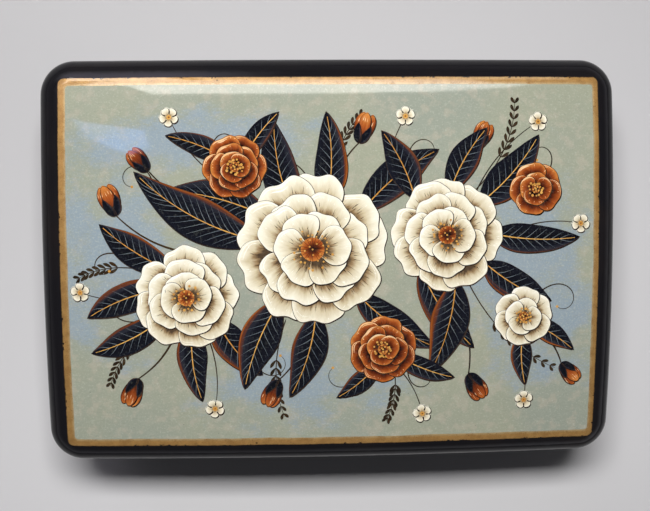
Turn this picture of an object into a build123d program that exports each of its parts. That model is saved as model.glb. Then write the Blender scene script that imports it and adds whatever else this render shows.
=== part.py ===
from build123d import *
from math import asin, cos, degrees, sin
import os

# A lacquered papier-mache box with a hinged, crowned lid, in millimetres.
# X runs along the long sides, +Y is the hinge side, and Z = 0 is the underside of the base.

# Lid
lid_length = 100.0
lid_width = 70.0
lid_corner_radius = 6.0
lid_height = 11.5  # from the lid's underside to the top of its crown
crown_along = 2.3  # fall of the crown from the middle to a short side
crown_across = 2.8  # and from the middle to a long side
rim_radius = 4.4  # round-over between the crown and the lid's sides
lid_frame_height = 2.4
lid_panel_thickness = 3.6
lid_lower_edge_radius = 0.5

# Picture field, inlaid level with the crown
picture_end_margin = 3.7  # from the lid's short sides to the outside of the gold line
picture_side_margin = 3.3  # and from its long sides
gold_line_width = 1.25
inlay_depth = 0.3

# Walls and base
lid_overhang = 1.5
wall_height = 22.0
wall_thickness = 3.6
wall_edge_radius = 0.35
bore_corner_radius = 1.0
base_thickness = 3.0
base_edge_radius = 1.3
seam_gap = 0.1  # between the walls and the closed lid

# Collar strips that line the walls and register the lid
collar_thickness = 1.2
collar_rise = 1.6  # above the top of the walls
collar_edge_radius = 0.35
collar_clearance = 0.3  # between the collar and the lid frame

# Hinge
hinge_length = 60.0
knuckle_count = 5
knuckle_radius = 1.05
knuckle_gap = 0.15
knuckle_inset = 0.05  # how far the barrel stays inside the lid's outline
barrel_clearance = 0.1
leaf_thickness = 0.5
leaf_land = 0.5  # wall left standing between the leaf and the collar
wire_radius = 0.45
wire_clearance = 0.05
hinge_pin_radius = 0.4
hinge_pin_clearance = 0.02
hinge_pin_count = 4
box_pin_length = 4.0
lid_pin_length = 2.0

overrun = 1.0  # how far a cutting shape runs past what it cuts

# Levels
wall_top = base_thickness + wall_height
lid_bottom = wall_top + seam_gap
panel_bottom = lid_bottom + lid_frame_height
lid_top = lid_bottom + lid_height
collar_top = wall_top + collar_rise

# Plan sizes
box_length = lid_length - 2 * lid_overhang
box_width = lid_width - 2 * lid_overhang
box_corner_radius = lid_corner_radius - lid_overhang
bore_length = box_length - 2 * wall_thickness
bore_width = box_width - 2 * wall_thickness
hollow_length = bore_length + 2 * collar_clearance
hollow_width = bore_width + 2 * collar_clearance
hollow_corner_radius = bore_corner_radius + collar_clearance
picture_length = lid_length - 2 * picture_end_margin
picture_width = lid_width - 2 * picture_side_margin
ground_length = picture_length - 2 * gold_line_width
ground_width = picture_width - 2 * gold_line_width

# The crown is part of a torus: an arc across the lid, swung lengthwise about an axis parallel to Y.
along_radius = (lid_length / 2) ** 2 / (2 * crown_along) + crown_along / 2
across_radius = (lid_width / 2) ** 2 / (2 * crown_across) + crown_across / 2
crown_axis = Axis((0, 0, lid_top - along_radius), (0, 1, 0))
crown_floor_radius = along_radius - 2 * lid_height
crown_half_angle = asin((lid_length / 2 + overrun) / crown_floor_radius)
crown_start = (cos(crown_half_angle), 0, sin(crown_half_angle))
crown_plane = Plane(crown_axis.position, x_dir=(0, 1, 0), z_dir=crown_start)

# The rim's round-over takes up the lid's lowest side, at the corners, at the most.
corner_side = lid_height - lid_frame_height - crown_along - crown_across
rim_reach_share = 0.85  # of its radius, down the side
rim_round = min(rim_radius, corner_side / rim_reach_share)

# Hinge places
hinge_y = lid_width / 2 - knuckle_inset - knuckle_radius
hinge_z = wall_top + seam_gap / 2
barrel_room = knuckle_radius + barrel_clearance
leaf_outer_y = hinge_y - barrel_room
leaf_inner_y = bore_width / 2 + leaf_land
leaf_width = leaf_outer_y - leaf_inner_y
leaf_middle_y = (leaf_outer_y + leaf_inner_y) / 2
knuckle_pitch = hinge_length / knuckle_count
knuckle_length = knuckle_pitch - knuckle_gap
hinge_pin_pitch = hinge_length / hinge_pin_count
knuckle_places = [(i - (knuckle_count - 1) / 2) * knuckle_pitch for i in range(knuckle_count)]
pocket_length = hinge_length + 2 * barrel_clearance


def under_crown(length, width, corner_radius, depth):
    """A block of the given outline, from the panel's underside up to the crown lowered by depth."""
    half_chord = lid_width / 2 + overrun
    arc_radius = across_radius - depth
    arc_centre = along_radius - across_radius
    arc_end = arc_centre + (arc_radius**2 - half_chord**2) ** 0.5
    with BuildPart() as block:
        with BuildSketch(Plane.XY.offset(panel_bottom)):
            RectangleRounded(length, width, corner_radius)
        extrude(amount=lid_top - panel_bottom + overrun)
        with BuildSketch(crown_plane):
            with BuildLine():
                ThreePointArc((-half_chord, arc_end), (0, arc_centre + arc_radius), (half_chord, arc_end))
                Line((half_chord, arc_end), (half_chord, crown_floor_radius))
                Line((half_chord, crown_floor_radius), (-half_chord, crown_floor_radius))
                Line((-half_chord, crown_floor_radius), (-half_chord, arc_end))
            make_face()
        revolve(axis=crown_axis, revolution_arc=degrees(2 * crown_half_angle), mode=Mode.INTERSECT)
    return block.part


def lid_blank(taken_in):
    """The crowned board with its broad round rim, taken in by the same depth all over."""
    length = lid_length - 2 * taken_in
    width = lid_width - 2 * taken_in
    block = under_crown(length, width, lid_corner_radius - taken_in, taken_in)
    with BuildPart() as blank:
        add(block)
        fillet(blank.faces().sort_by(Axis.Z)[-1].edges(), rim_round - taken_in)
    return blank.part


# Base plate: a pressed board, glued under the walls, with both edges rounded.
with BuildPart() as base_plate:
    with BuildSketch():
        RectangleRounded(lid_length, lid_width, lid_corner_radius)
    extrude(amount=base_thickness)
    fillet(base_plate.faces().sort_by(Axis.Z)[-1].edges(), base_edge_radius)
    fillet(base_plate.faces().sort_by(Axis.Z)[0].edges(), base_edge_radius)

# Wall frame: a tube wound from board on a block, pocketed along the back for the hinge.
with BuildPart() as wall_frame:
    with BuildSketch(Plane.XY.offset(base_thickness)):
        RectangleRounded(box_length, box_width, box_corner_radius)
    extrude(amount=wall_height)
    fillet(wall_frame.faces().sort_by(Axis.Z)[-1].edges(), wall_edge_radius)
    with BuildSketch(Plane.XY.offset(base_thickness)):
        RectangleRounded(bore_length, bore_width, bore_corner_radius)
    extrude(amount=wall_height, mode=Mode.SUBTRACT)
    with BuildSketch(Plane.XY.offset(wall_top)):
        with Locations((0, leaf_middle_y)):
            Rectangle(hinge_length, leaf_width)
    extrude(amount=-leaf_thickness, mode=Mode.SUBTRACT)
    with BuildSketch(Plane.XY.offset(wall_top)):
        with Locations((0, leaf_outer_y)):
            Rectangle(pocket_length, box_width, align=(Align.CENTER, Align.MIN))
    extrude(amount=hinge_z - barrel_room - wall_top, mode=Mode.SUBTRACT)
    with BuildSketch(Plane.XY.offset(wall_top)):
        with Locations((0, leaf_middle_y)):
            with GridLocations(hinge_pin_pitch, 0, hinge_pin_count, 1):
                Circle(hinge_pin_radius + hinge_pin_clearance)
    extrude(amount=-box_pin_length, mode=Mode.SUBTRACT)


def collar_strip(corners):
    """A mitred board strip against the walls, between two corners of the bore."""
    with BuildPart() as strip:
        with BuildSketch(Plane.XY.offset(base_thickness)):
            with BuildLine():
                Polyline(*corners, close=True)
            make_face()
            RectangleRounded(bore_length, bore_width, bore_corner_radius, mode=Mode.INTERSECT)
        extrude(amount=collar_top - base_thickness)
        long_edges = strip.faces().sort_by(Axis.Z)[-1].edges().sort_by(SortBy.LENGTH)[-2:]
        fillet(long_edges, collar_edge_radius)
    return strip.part


outer_x = bore_length / 2
outer_y = bore_width / 2
inner_x = outer_x - collar_thickness
inner_y = outer_y - collar_thickness
front_corners = [(-outer_x, -outer_y), (outer_x, -outer_y), (inner_x, -inner_y), (-inner_x, -inner_y)]
back_corners = [(-x, -y) for x, y in front_corners]
right_corners = [(outer_x, -outer_y), (outer_x, outer_y), (inner_x, inner_y), (inner_x, -inner_y)]
left_corners = [(-x, -y) for x, y in right_corners]

# Collar strips: thin board, mitred at the corners.
collar_front = collar_strip(front_corners)
collar_back = collar_strip(back_corners)
collar_left = collar_strip(left_corners)
collar_right = collar_strip(right_corners)

# Lid frame: the ring sawn off the wound tube, pocketed along the back for the hinge.
with BuildPart() as lid_frame:
    with BuildSketch(Plane.XY.offset(lid_bottom)):
        RectangleRounded(lid_length, lid_width, lid_corner_radius)
    extrude(amount=lid_frame_height)
    fillet(lid_frame.faces().sort_by(Axis.Z)[0].edges(), lid_lower_edge_radius)
    with BuildSketch(Plane.XY.offset(lid_bottom)):
        RectangleRounded(hollow_length, hollow_width, hollow_corner_radius)
    extrude(amount=lid_frame_height, mode=Mode.SUBTRACT)
    with BuildSketch(Plane.XY.offset(lid_bottom)):
        with Locations((0, leaf_middle_y)):
            Rectangle(hinge_length, leaf_width)
    extrude(amount=leaf_thickness, mode=Mode.SUBTRACT)
    with BuildSketch(Plane.XY.offset(lid_bottom)):
        with Locations((0, leaf_outer_y)):
            Rectangle(pocket_length, lid_width, align=(Align.CENTER, Align.MIN))
    extrude(amount=hinge_z + barrel_room - lid_bottom, mode=Mode.SUBTRACT)
    with BuildSketch(Plane.XY.offset(lid_bottom)):
        with Locations((0, leaf_middle_y)):
            with GridLocations(hinge_pin_pitch, 0, hinge_pin_count, 1):
                Circle(hinge_pin_radius + hinge_pin_clearance)
    extrude(amount=lid_pin_length, mode=Mode.SUBTRACT)

# Picture coat: the outer layer of the lid that the picture takes up, and the recess for it.
whole_blank = lid_blank(0)
under_coat = lid_blank(inlay_depth)
with BuildPart() as picture_coat:
    add(whole_blank)
    with BuildSketch(Plane.XY.offset(panel_bottom)):
        Rectangle(picture_length, picture_width)
    extrude(amount=lid_top + overrun - panel_bottom, mode=Mode.INTERSECT)
    add(under_coat, mode=Mode.SUBTRACT)
with BuildPart() as picture_recess:
    with BuildSketch(Plane.XY.offset(panel_bottom)):
        Rectangle(picture_length, picture_width)
    extrude(amount=lid_top + overrun - panel_bottom)
    add(under_coat, mode=Mode.SUBTRACT)

# Lid panel: the blank, hollowed underneath to an even thickness, with the recess for the picture.
hollow_core = under_crown(hollow_length, hollow_width, hollow_corner_radius, lid_panel_thickness)
with BuildPart() as lid_panel:
    add(whole_blank)
    add(hollow_core, mode=Mode.SUBTRACT)
    add(picture_recess.part, mode=Mode.SUBTRACT)

# Painted ground and gold line: thin coats, rubbed down level with the crown.
with BuildPart() as painted_ground:
    add(picture_coat.part)
    with BuildSketch(Plane.XY.offset(panel_bottom)):
        Rectangle(ground_length, ground_width)
    extrude(amount=lid_top + overrun - panel_bottom, mode=Mode.INTERSECT)
with BuildPart() as gold_line:
    add(picture_coat.part)
    with BuildSketch(Plane.XY.offset(panel_bottom)):
        Rectangle(ground_length, ground_width)
    extrude(amount=lid_top + overrun - panel_bottom, mode=Mode.SUBTRACT)


def hinge_leaf(plate_bottom, own_places):
    """A leaf whose plate lies from plate_bottom up, with a knuckle at each of its own places."""
    with BuildPart() as leaf:
        with BuildSketch(Plane.XY.offset(plate_bottom)):
            with Locations((0, leaf_middle_y)):
                Rectangle(hinge_length - knuckle_gap, leaf_width)
            with Locations(*[(x, leaf_outer_y) for x in own_places]):
                Rectangle(knuckle_length, barrel_room, align=(Align.CENTER, Align.MIN))
        extrude(amount=leaf_thickness)
        for x in own_places:
            with BuildSketch(Plane.YZ.offset(x - knuckle_length / 2)):
                with Locations((hinge_y, hinge_z)):
                    Circle(knuckle_radius)
            extrude(amount=knuckle_length)
        with BuildSketch(Plane.YZ.offset(-hinge_length / 2)):
            with Locations((hinge_y, hinge_z)):
                Circle(wire_radius + wire_clearance)
        extrude(amount=hinge_length, mode=Mode.SUBTRACT)
        with BuildSketch(Plane.XY.offset(plate_bottom)):
            with Locations((0, leaf_middle_y)):
                with GridLocations(hinge_pin_pitch, 0, hinge_pin_count, 1):
                    Circle(hinge_pin_radius + hinge_pin_clearance)
        extrude(amount=leaf_thickness, mode=Mode.SUBTRACT)
    return leaf.part


def hinge_pins(bottom, length):
    """The row of small pins through a leaf, standing from bottom up."""
    with BuildPart() as pins:
        with BuildSketch(Plane.XY.offset(bottom)):
            with Locations((0, leaf_middle_y)):
                with GridLocations(hinge_pin_pitch, 0, hinge_pin_count, 1):
                    Circle(hinge_pin_radius)
        extrude(amount=length)
    return pins.part


# Hinge: sheet brass leaves with alternate knuckles on one wire, held by small pins.
body_hinge_leaf = hinge_leaf(wall_top - leaf_thickness, knuckle_places[0::2])
lid_hinge_leaf = hinge_leaf(lid_bottom, knuckle_places[1::2])
body_hinge_pins = hinge_pins(wall_top - box_pin_length, box_pin_length)
lid_hinge_pins = hinge_pins(lid_bottom, lid_pin_length)
with BuildPart() as hinge_wire:
    with BuildSketch(Plane.YZ.offset(-hinge_length / 2)):
        with Locations((hinge_y, hinge_z)):
            Circle(wire_radius)
    extrude(amount=hinge_length)

pieces = {
    "base_plate": base_plate.part,
    "wall_frame": wall_frame.part,
    "collar_front": collar_front,
    "collar_back": collar_back,
    "collar_left": collar_left,
    "collar_right": collar_right,
    "body_hinge_leaf": body_hinge_leaf,
    "body_hinge_pins": body_hinge_pins,
    "hinge_wire": hinge_wire.part,
    "lid_frame": lid_frame.part,
    "lid_panel": lid_panel.part,
    "painted_ground": painted_ground.part,
    "gold_line": gold_line.part,
    "lid_hinge_leaf": lid_hinge_leaf,
    "lid_hinge_pins": lid_hinge_pins,
}
os.makedirs("parts", exist_ok=True)
for name, piece in pieces.items():
    piece.label = name
    export_step(piece, f"parts/{name}.step")
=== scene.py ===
import math
import random
import bpy
import numpy as np
from mathutils import Matrix, Vector


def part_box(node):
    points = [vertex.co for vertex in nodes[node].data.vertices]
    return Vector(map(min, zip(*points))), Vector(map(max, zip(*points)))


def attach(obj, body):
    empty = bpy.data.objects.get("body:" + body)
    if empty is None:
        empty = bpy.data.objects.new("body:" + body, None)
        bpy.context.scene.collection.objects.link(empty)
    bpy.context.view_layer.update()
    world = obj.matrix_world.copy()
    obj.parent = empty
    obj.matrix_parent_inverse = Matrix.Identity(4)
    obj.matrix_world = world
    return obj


# A lacquered papier-mache box: a black lid with a gold-lined picture field and a spray of flowers on it.
# Patterns and paint are worked out in millimetres, and Blender's own units stay metres.
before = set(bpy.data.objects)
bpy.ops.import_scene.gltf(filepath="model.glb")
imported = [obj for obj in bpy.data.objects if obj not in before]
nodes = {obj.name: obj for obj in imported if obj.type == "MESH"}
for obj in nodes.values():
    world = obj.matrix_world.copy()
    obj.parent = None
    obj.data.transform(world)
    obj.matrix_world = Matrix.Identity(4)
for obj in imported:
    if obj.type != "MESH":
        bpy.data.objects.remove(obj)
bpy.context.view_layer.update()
mm = 0.001
print("frame loaded:", len(nodes), "nodes")

# The box as the frame holds it, in mm
panelLow, panelHigh = (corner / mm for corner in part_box("lid_panel"))
lineLow, lineHigh = (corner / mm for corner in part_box("gold_line"))
groundLow, groundHigh = (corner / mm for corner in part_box("painted_ground"))
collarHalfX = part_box("collar_right")[1].x / mm
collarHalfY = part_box("collar_back")[1].y / mm
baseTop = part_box("base_plate")[1].z / mm
lid = {
    "length": panelHigh.x - panelLow.x,
    "width": panelHigh.y - panelLow.y,
    "top": groundHigh.z,
    "fallAlong": 2.3,  # of the crown, from the middle to a short side
    "fallAcross": 2.8,  # and to a long side
    "boardThickness": 3.6,
}
lid["radiusAlong"] = (lid["length"] / 2) ** 2 / (2 * lid["fallAlong"]) + lid["fallAlong"] / 2
lid["radiusAcross"] = (lid["width"] / 2) ** 2 / (2 * lid["fallAcross"]) + lid["fallAcross"] / 2


# Camera: where the photograph was taken from, fitted to the lid's gold line
pictureView = {
    "focalPixels": 1002.8,
    "imagePixels": 650.0,
    "sensor": 36.0,
    "aim": (-1.404, 1.542),  # on a level with the crown's top, mm
    "distance": 170.0,
    "leanX": 0.088,  # radians, back towards the hinge
    "leanY": 0.047,
    "roll": 0.011,
    "clipStart": 0.01,  # m
}


def makeCamera(view):
    turn = Matrix.Rotation(-view["leanX"], 3, "X") @ Matrix.Rotation(-view["leanY"], 3, "Y")
    turn = turn @ Matrix.Rotation(-view["roll"], 3, "Z")
    aim = Vector((*view["aim"], lid["top"])) * mm
    data = bpy.data.cameras.new("pictureCamera")
    data.sensor_width = view["sensor"]
    data.lens = view["sensor"] * view["focalPixels"] / view["imagePixels"]
    data.clip_start = view["clipStart"]
    camera = bpy.data.objects.new("pictureCamera", data)
    away = turn @ Vector((0, 0, view["distance"] * mm))
    camera.matrix_world = Matrix.Translation(aim + away) @ turn.to_4x4()
    bpy.context.scene.collection.objects.link(camera)
    bpy.context.scene.camera = camera


makeCamera(pictureView)
bpy.context.scene.view_settings.view_transform = "Standard"
print("camera placed")


# The curve from a screen's colour values to linear light
paintCard = {"full": 255, "toe": 0.04045, "toeSlope": 12.92, "offset": 0.055, "power": 2.4}


def paint(red, green, blue):
    # A colour as a paint card gives it, 0 to 255, in the linear light that shaders use
    linear = []
    for channel in (red, green, blue):
        share = channel / paintCard["full"]
        if share <= paintCard["toe"]:
            linear.append(share / paintCard["toeSlope"])
        else:
            linear.append(((share + paintCard["offset"]) / (1 + paintCard["offset"])) ** paintCard["power"])
    return (*linear, 1.0)


# Shader sums: a Wire wraps one output and adds Math nodes where it is used in an expression
class Wire:
    def __init__(self, sheet, socket):
        self.sheet = sheet
        self.socket = socket

    def __getitem__(self, output):
        return Wire(self.sheet, self.socket.node.outputs[output])

    def __add__(self, other):
        return self.sheet.math("ADD", self, other)

    def __sub__(self, other):
        return self.sheet.math("SUBTRACT", self, other)

    def __rsub__(self, other):
        return self.sheet.math("SUBTRACT", other, self)

    def __mul__(self, other):
        return self.sheet.math("MULTIPLY", self, other)

    def __pow__(self, other):
        return self.sheet.math("POWER", self, other)

    __radd__ = __add__
    __rmul__ = __mul__


speckCore = 0.6  # share of a speck's radius within its soft edge


# A material's or the world's node tree
# The dictionaries give a noise as (scale per mm, detail, roughness), and a fade as the value where it is 0
# and the value where it is 1
class Sheet:
    def __init__(self, owner):
        owner.use_nodes = True
        self.owner = owner
        self.tree = owner.node_tree
        self.tree.nodes.clear()
        self.kept = {}

    def add(self, kind, settings, inputs, output=0):
        node = self.tree.nodes.new(kind)
        for name, value in settings.items():
            if name == "stops":
                self.setStops(node.color_ramp.elements, value)
            else:
                setattr(node, name, value)
        for name, value in inputs.items():
            if isinstance(value, Wire):
                self.tree.links.new(value.socket, node.inputs[name])
            else:
                node.inputs[name].default_value = value
        return Wire(self, node.outputs[output]) if node.outputs else None

    def setStops(self, elements, stops):
        while len(elements) < len(stops):
            elements.new(1.0)
        for element, (place, colour) in zip(elements, stops):
            element.position = place
            element.color = colour

    def math(self, operation, *values):
        return self.add("ShaderNodeMath", {"operation": operation}, dict(enumerate(values)))

    def mix(self, share, first, second):
        # Two colours: the node's sockets 0, 6 and 7 are the share and the colours, and output 2 is theirs
        return self.add("ShaderNodeMix", {"data_type": "RGBA"}, {0: share, 6: first, 7: second}, 2)

    def fade(self, value, low, high):
        # 0 below low and 1 above high, with a soft step between
        inputs = {"Value": value, "From Min": low, "From Max": high}
        return self.add("ShaderNodeMapRange", {"interpolation_type": "SMOOTHSTEP"}, inputs)

    def ramp(self, value, *stops):
        return self.add("ShaderNodeValToRGB", {"stops": stops}, {0: value})

    def place(self):
        # The point on the piece, in mm
        if "place" not in self.kept:
            inputs = {0: self.add("ShaderNodeTexCoord", {}, {}, "Object"), "Scale": 1 / mm}
            self.kept["place"] = self.add("ShaderNodeVectorMath", {"operation": "SCALE"}, inputs)
        return self.kept["place"]

    def axes(self, vector=None):
        parts = self.add("ShaderNodeSeparateXYZ", {}, {0: vector or self.place()})
        return parts, parts[1], parts[2]

    def noise(self, vector, scale, detail=2.0, roughness=0.5):
        # The scale is one number, or one for each axis
        if isinstance(scale, tuple):
            vector = self.add("ShaderNodeVectorMath", {"operation": "MULTIPLY"}, {0: vector, 1: scale})
            scale = 1.0
        inputs = {"Vector": vector, "Scale": scale, "Detail": detail, "Roughness": roughness}
        return self.add("ShaderNodeTexNoise", {}, inputs)

    def patches(self, look, name):
        # 0 to 1, as the look's own noise and fade say
        return self.fade(self.noise(self.place(), *look[name + "Noise"]), *look[name + "Fade"])

    def laid(self, colour, look, name, where):
        # The look's named colour over another, at its own share
        return self.mix(where * look[name + "Share"], colour, look[name])

    def specks(self, vector, scale, share, radius):
        # Sparse round dots: a share of the cells holds one, of a radius given in cells
        cell = self.add("ShaderNodeTexVoronoi", {"feature": "F1"}, {"Vector": vector, "Scale": scale})
        chosen = self.math("LESS_THAN", self.axes(cell["Color"])[0], share)
        return chosen * (1 - self.fade(cell["Distance"], radius * speckCore, radius))

    def bump(self, height):
        # height in mm
        return self.add("ShaderNodeBump", {}, {"Strength": 1.0, "Distance": mm, "Height": height})

    def finish(self, **inputs):
        named = {name.replace("_", " "): value for name, value in inputs.items()}
        shader = self.add("ShaderNodeBsdfPrincipled", {}, named)
        self.add("ShaderNodeOutputMaterial", {}, {"Surface": shader})
        return self.owner


def newSheet(name):
    return Sheet(bpy.data.materials.new(name))


# Studio: a pale table, a dim sky, a lamp close above the box that gloss doesn't show,
# and windows that only gloss shows
studio = {
    "table": paint(223, 222, 224),
    "tableFar": paint(193, 192, 194),  # painted shade: the table darker behind the box
    "tableFade": (-60.0, 70.0),  # mm, from the near colour to the painted shade behind the box
    "tableSlant": 0.2,  # how far that fade leans
    "tableWaver": 8.0,  # mm, that it strays
    "tableNoise": (0.02, 3.0),
    "tableRoughness": 0.6,
    "tableMirrored": 0.6,  # share of it that gloss shows, and the rest is painted shade in its reflections
    "tableSize": 6.0,  # m
    "backdrop": paint(206, 205, 207),  # what the camera sees past the table, and in place of its far parts
    "backdropFade": (88.0, 200.0),  # mm from the box's middle
    "skyColour": (0.95, 0.94, 1.0, 1.0),
    "skyDim": 0.05,
    "skyLow": {"all": 0.14, "right": 0.27, "near": 0.22},  # near the horizon, and what two sides add
    "skyLowFades": {"right": (-0.1, 0.8), "near": (0.1, -0.8), "up": (0.05, 0.45)},
    "skyHazy": 1.0,  # high up, behind on the left
    "skyHazyFades": [(-0.10, -0.30), (0.22, 0.40), (0.62, 0.84)],  # along x, y and z of the direction
    "skyBehind": 2.4,  # lower down there, in gloss alone
    "skyBehindFades": [(0.0, -0.20), (0.50, 0.70), (0.20, 0.72)],
    "behindColour": (0.86, 0.80, 1.0, 1.0),
    "skyOnMatt": 0.45,  # share of the sky that lights matt surfaces
    "key": {
        "at": (-0.019, 0.092, 0.290),
        "size": (0.105, 0.038),
        "radiance": 76.0,
        "colour": (1.0, 0.995, 0.985),
    },
    "windowLevel": 1.0,  # m above the table
    "windowNoise": ((0.003, 0.06, 0.0), 2.0),  # of the streaks on the windows
    "windows": {
        "longWindow": {
            "radiance": 8.8,
            "colour": (1.0, 0.97, 0.92, 1.0),
            "streaked": 1.2,  # how much its streaks stray from the radiance
            "outline": [
                (-0.46, 0.412), (-0.36, 0.399), (-0.31, 0.381), (-0.27, 0.363), (0.00, 0.358), (0.24, 0.364),
                (0.38, 0.378), (0.53, 0.406), (0.36, 0.405), (0.20, 0.413), (0.02, 0.430), (-0.20, 0.441),
                (-0.27, 0.60), (-0.34, 0.82), (-0.50, 0.90), (-0.50, 0.60),
            ],
        },
        "goldPane": {
            "radiance": 3.4,
            "colour": (1.0, 0.92, 0.76, 1.0),
            "streaked": 1.2,
            "outline": [(-0.20, 0.50), (0.52, 0.50), (0.58, 0.76), (-0.25, 0.76)],
        },
        "bluePane": {
            "radiance": 5.0,
            "colour": (0.22, 0.44, 1.0, 1.0),
            "streaked": 0.5,
            "outline": [
                (-0.41, 0.306), (-0.39, 0.293), (-0.28, 0.266),
                (-0.27, 0.222), (-0.30, 0.201), (-0.37, 0.239),
            ],
        },
    },
}


def makeKey(lamp):
    data = bpy.data.lights.new("keyLight", "AREA")
    data.shape = "RECTANGLE"
    data.size, data.size_y = lamp["size"]
    data.energy = lamp["radiance"] * data.size * data.size_y * math.pi
    data.color = lamp["colour"]
    obj = bpy.data.objects.new("keyLight", data)
    away = Vector(lamp["at"]).normalized()
    side = (Vector((1, 0, 0)) - away * away.x).normalized()
    turn = Matrix((side, away.cross(side), away)).transposed()
    obj.matrix_world = Matrix.Translation(lamp["at"]) @ turn.to_4x4()
    obj.visible_glossy = False
    bpy.context.scene.collection.objects.link(obj)


def stageMesh(name, corners, material):
    mesh = bpy.data.meshes.new(name)
    mesh.from_pydata(corners, [], [tuple(range(len(corners)))])
    mesh.materials.append(material)
    obj = bpy.data.objects.new(name, mesh)
    bpy.context.scene.collection.objects.link(obj)
    return obj


def makeWindow(name, window):
    # A shining card, streaked along its length
    sheet = newSheet(name)
    levels = (window["radiance"] * (1 + side * window["streaked"] / 2) for side in (-1, 1))
    dull, bright = ([channel * level for channel in window["colour"]] for level in levels)
    colour = sheet.mix(sheet.noise(sheet.place(), *studio["windowNoise"]), dull, bright)
    light = sheet.add("ShaderNodeEmission", {}, {"Color": colour, "Strength": 1.0})
    sheet.add("ShaderNodeOutputMaterial", {}, {"Surface": light})
    card = stageMesh(name, [(x, y, studio["windowLevel"]) for x, y in window["outline"]], sheet.owner)
    card.visible_camera = False
    card.visible_diffuse = False
    card.visible_shadow = False


def skyPatch(sky, direction, fades):
    # 1 in a part of the sky, and soft at its edges
    overX, overY, overZ = (sky.fade(part, *ends) for part, ends in zip(direction, fades))
    return overX * overY * overZ


def makeSky():
    world = bpy.data.worlds.new("softSky")
    bpy.context.scene.world = world
    sky = Sheet(world)
    path = sky.add("ShaderNodeLightPath", {}, {})
    inView, onMatt = path["Is Camera Ray"], path["Is Diffuse Ray"]
    direction = sky.axes(sky.add("ShaderNodeTexCoord", {}, {}, "Generated"))
    x, y, z = direction
    low, fades = studio["skyLow"], studio["skyLowFades"]
    horizon = sky.fade(x, *fades["right"]) * low["right"] + sky.fade(y, *fades["near"]) * low["near"]
    level = studio["skyDim"] + (1 - sky.fade(z, *fades["up"])) * (horizon + low["all"])
    level = level + skyPatch(sky, direction, studio["skyHazyFades"]) * studio["skyHazy"]
    level = level * (1 - onMatt * (1 - studio["skyOnMatt"]))
    behind = skyPatch(sky, direction, studio["skyBehindFades"]) * (1 - onMatt)
    level = level + behind * studio["skyBehind"]
    colour = sky.mix(behind, studio["skyColour"], studio["behindColour"])
    inputs = {"Color": sky.mix(inView, colour, studio["backdrop"]), "Strength": level * (1 - inView) + inView}
    sky.add("ShaderNodeOutputWorld", {}, {"Surface": sky.add("ShaderNodeBackground", {}, inputs)})


def makeTable():
    sheet = newSheet("tableTop")
    place = sheet.place()
    dark = (0.0, 0.0, 0.0, 1.0)
    x, y = sheet.axes()[:2]
    depth = y - x * studio["tableSlant"] + sheet.noise(place, *studio["tableNoise"]) * studio["tableWaver"]
    # Painted shade: the table darker behind the box and towards its left
    shade = sheet.mix(sheet.fade(depth, *studio["tableFade"]), studio["table"], studio["tableFar"])
    path = sheet.add("ShaderNodeLightPath", {}, {})
    # Painted shade: reflections see the table darker than the camera does
    shade = sheet.mix(path["Is Glossy Ray"] * (1 - studio["tableMirrored"]), shade, dark)
    # Far from the box the camera sees the backdrop's colour instead
    away = sheet.add("ShaderNodeVectorMath", {"operation": "LENGTH"}, {0: place}, "Value")
    far = sheet.fade(away, *studio["backdropFade"]) * path["Is Camera Ray"]
    material = sheet.finish(
        Base_Color=sheet.mix(far, shade, dark), Roughness=studio["tableRoughness"],
        Emission_Color=sheet.mix(far, dark, studio["backdrop"]), Emission_Strength=1.0,
    )
    half = studio["tableSize"] / 2
    stageMesh("table", [(-half, -half, 0), (half, -half, 0), (half, half, 0), (-half, half, 0)], material)


makeSky()
makeTable()
makeKey(studio["key"])
for name, window in studio["windows"].items():
    makeWindow(name, window)
print("studio made")


# Lacquer: every coat of it has the same gloss and the same slow ripple, whatever colour is under it
lacquer = {
    "shine": 0.45,
    "blackShine": 0.3,
    "roughness": 0.03,
    "haze": 0.04,  # added where it has been handled
    "hazeNoise": ((0.05, 0.14, 0.1), 4.0),
    "hazeFade": (0.45, 0.75),
    "ripple": 0.004,  # mm, over some 8 mm
    "rippleNoise": (0.12, 1.0),
    "peel": 0.00025,  # mm, over less than 1 mm
    "peelNoise": (1.4, 2.0),
    "dust": 0.003,  # mm, grains under the top coat
    "dustSpecks": (0.35, 0.10, 0.09),  # scale, share of the cells, radius
    "coatIOR": 1.46,  # of the clear coat over the gold
}


def lacquerGloss(sheet):
    place = sheet.place()
    ripple = sheet.noise(place, *lacquer["rippleNoise"]) * lacquer["ripple"]
    peel = sheet.noise(place, *lacquer["peelNoise"]) * lacquer["peel"]
    grains = sheet.specks(place, *lacquer["dustSpecks"])
    normal = sheet.bump(ripple + peel + grains * lacquer["dust"])
    return lacquer["roughness"] + sheet.patches(lacquer, "haze") * lacquer["haze"], normal, grains


black = {
    "deep": paint(23, 22, 25),
    "warm": paint(33, 28, 27),  # where the light reaches the board through the coats
    "warmShare": 0.6,
    "warmNoise": (0.08, 3.0),
    "warmFade": (0.45, 0.8),
    "dust": paint(150, 148, 140),
    "dustShare": 0.5,
}


def blackColour(sheet, grains):
    colour = sheet.laid(black["deep"], black, "warm", sheet.patches(black, "warm"))
    return sheet.laid(colour, black, "dust", grains)


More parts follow.
